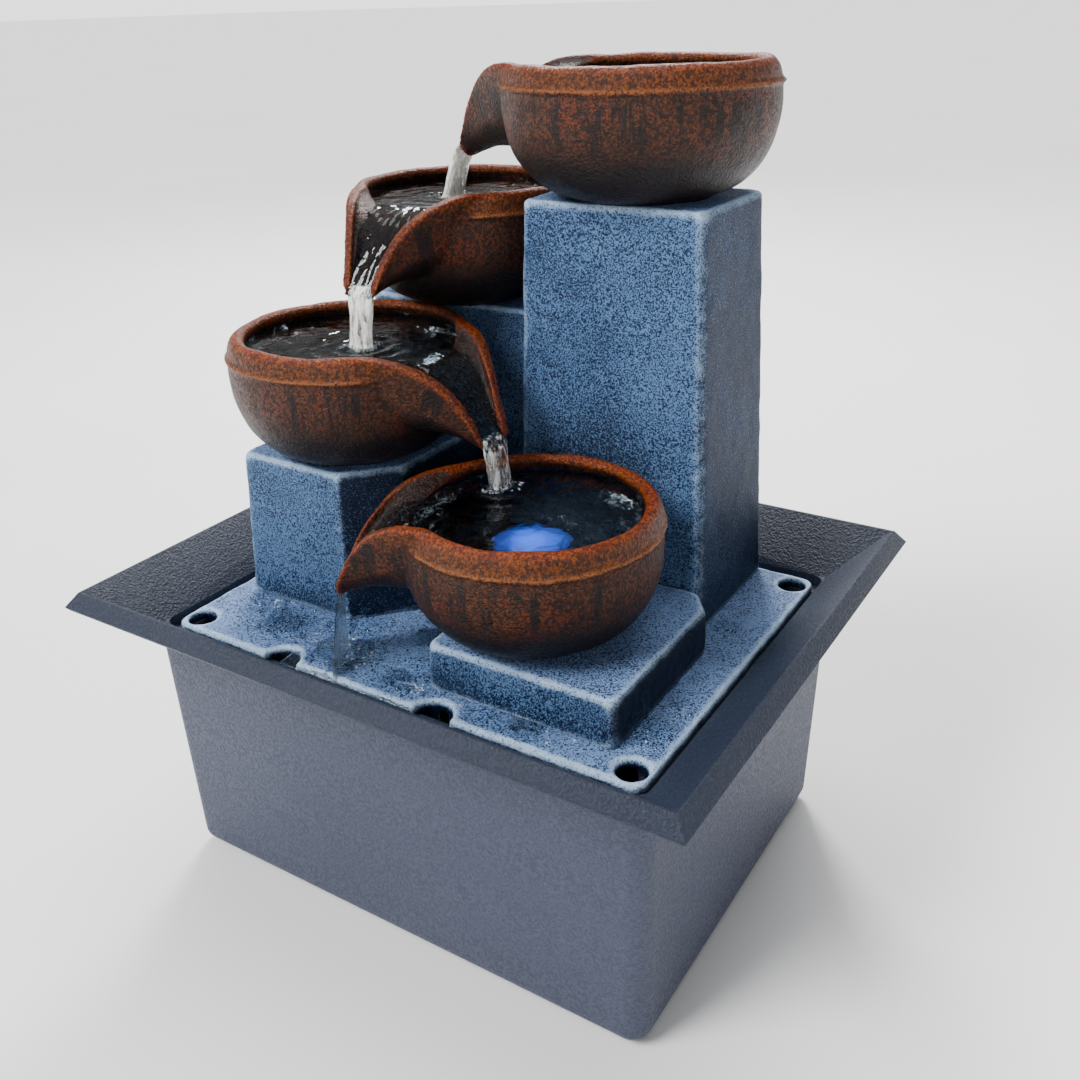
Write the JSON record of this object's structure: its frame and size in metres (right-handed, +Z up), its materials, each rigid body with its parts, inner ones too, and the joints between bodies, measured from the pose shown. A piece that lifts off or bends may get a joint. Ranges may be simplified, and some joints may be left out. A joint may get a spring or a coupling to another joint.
{
  "type": "tabletop water fountain",
  "caption": "Tabletop fountain: water runs down spouted bowls on stepped stone-look blocks into a dark rectangular basin; the deck lifts off to reach the pump.",
  "frame": {"origin": "centre of the underside, on the plane of the anti-slip pads", "axes": "+Z up, the long front face and the lowest bowl towards -Y, +X to the right seen from the front"},
  "size_m": [0.21, 0.17, 0.2496],
  "materials": {
    "basin_plastic": "fine pebbled texture, charcoal",
    "blue_resin": "cast polyresin, steel blue with navy granite speckle and pale brushed edges",
    "terracotta_resin": "cast polyresin, burnt orange rim over streaked brown",
    "pump_plastic": "moulded",
    "black_rubber": "soft",
    "clear_rubber": "translucent",
    "steel_laminations": "stacked sheet",
    "copper_wire": "enamelled winding",
    "white_ceramic": "ground",
    "ferrite": "pressed ferrite",
    "impeller_plastic": "moulded",
    "sponge": "open cell foam",
    "lead_sheath": "matte",
    "clear_hose": "clear soft hose",
    "spring_steel": "plated",
    "lamp_plastic": "black",
    "circuit_board": "solder mask",
    "lamp_lens": "blue light behind it",
    "water": "clear moving water"
  },
  "bodies": {
    "basin": {"basin": "basin_plastic", "foot_pads": "black_rubber", "cord_grommet": "black_rubber", "pump_housing": "pump_plastic", "pump_lead_gland": "black_rubber", "stator_core": "steel_laminations", "stator_coils": "copper_wire", "suction_cups": "clear_rubber", "volute_cover": "pump_plastic", "volute_seal": "black_rubber", "rotor_shaft": "white_ceramic", "rear_bushing": "black_rubber", "front_bushing": "black_rubber", "led_socket": "pump_plastic"},
    "deck": {"deck_plate": "blue_resin", "column_tall": "blue_resin", "column_back": "blue_resin", "column_front": "blue_resin", "block_low": "blue_resin", "bowl_top": "terracotta_resin", "bowl_upper": "terracotta_resin", "bowl_lower": "terracotta_resin", "bowl_bottom": "terracotta_resin", "led_plug": "pump_plastic", "led_lead": "lead_sheath", "inlet_spigot": "pump_plastic", "inlet_washer": "black_rubber", "inlet_nut": "pump_plastic", "riser_hose": "clear_hose", "hose_band": "spring_steel", "led_housing": "lamp_plastic", "led_board": "circuit_board", "led_lens": "lamp_lens", "led_seal": "black_rubber"},
    "rotor": {"rotor_magnet": "ferrite", "impeller": "impeller_plastic"},
    "intake": {"intake_cover": "pump_plastic", "filter_sponge": "sponge"},
    "flow_shutter": {"flow_slider": "impeller_plastic"}
  },
  "joints": [
    {"name": "deck_lift", "type": "slide", "parent": "basin", "child": "deck", "axis": [0, 0, 1], "range_m": [0, 0.12]},
    {"name": "impeller_spin", "type": "hinge", "parent": "basin", "child": "rotor", "pos_m": [0.02, 0.0375, 0.031], "axis": [1, 0, 0], "continuous": true},
    {"name": "intake_pull", "type": "slide", "parent": "basin", "child": "intake", "axis": [1, 0, 0], "range_m": [0, 0.02]},
    {"name": "flow_slide", "type": "slide", "parent": "intake", "child": "flow_shutter", "axis": [0, 0, 1], "range_m": [0, 0.006]}
  ]
}
